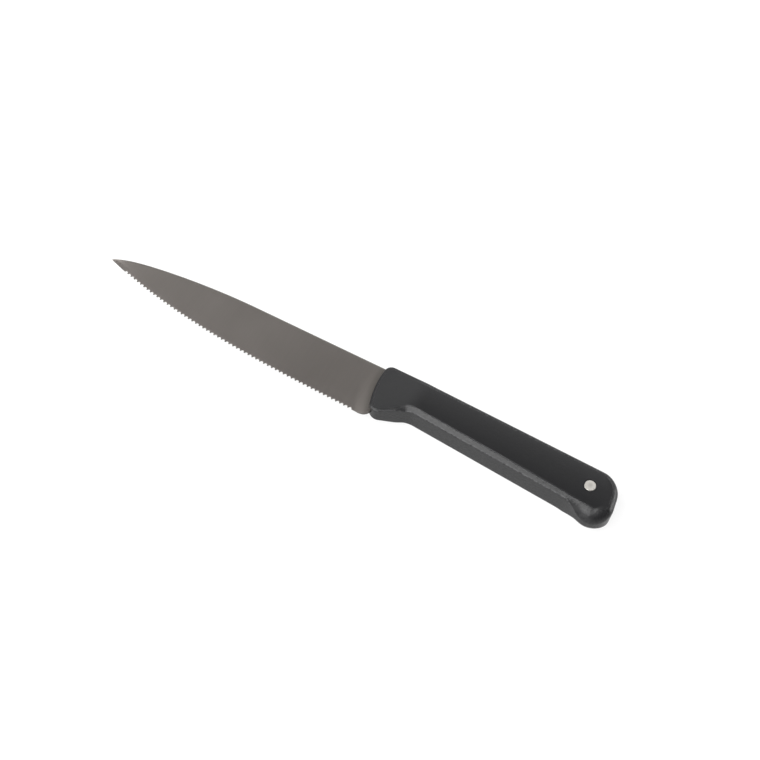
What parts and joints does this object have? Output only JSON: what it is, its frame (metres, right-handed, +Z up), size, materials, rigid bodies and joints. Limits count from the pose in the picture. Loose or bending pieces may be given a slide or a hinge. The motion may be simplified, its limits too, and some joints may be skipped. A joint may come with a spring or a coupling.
{
  "type": "serrated utility knife",
  "caption": "Kitchen utility knife with a tapered, finely serrated, dark coated blade and a straight moulded handle with a flared front, bevelled grip edge and butt rivet.",
  "frame": {"origin": "on the table under the middle of the knife's box, with the knife lying on one side face", "axes": "+X from the tip towards the butt, +Y from the cutting edge towards the back of the blade, +Z up out of the side face"},
  "size_m": [0.2354, 0.0252, 0.0134],
  "materials": {
    "coated_steel": "dark grey titanium-toned coating, satin, faint grinding streaks from back to edge",
    "core_plastic": "black, fine matt grain",
    "rim_elastomer": "black soft-touch skin, leathery grain",
    "rivet_steel": "bare steel, faint turning marks"
  },
  "bodies": {
    "root": {"blade": "coated_steel", "handle_core": "core_plastic", "grip_rim": "rim_elastomer", "rivet_socket": "rivet_steel", "rivet_post": "rivet_steel"}
  },
  "joints": []
}
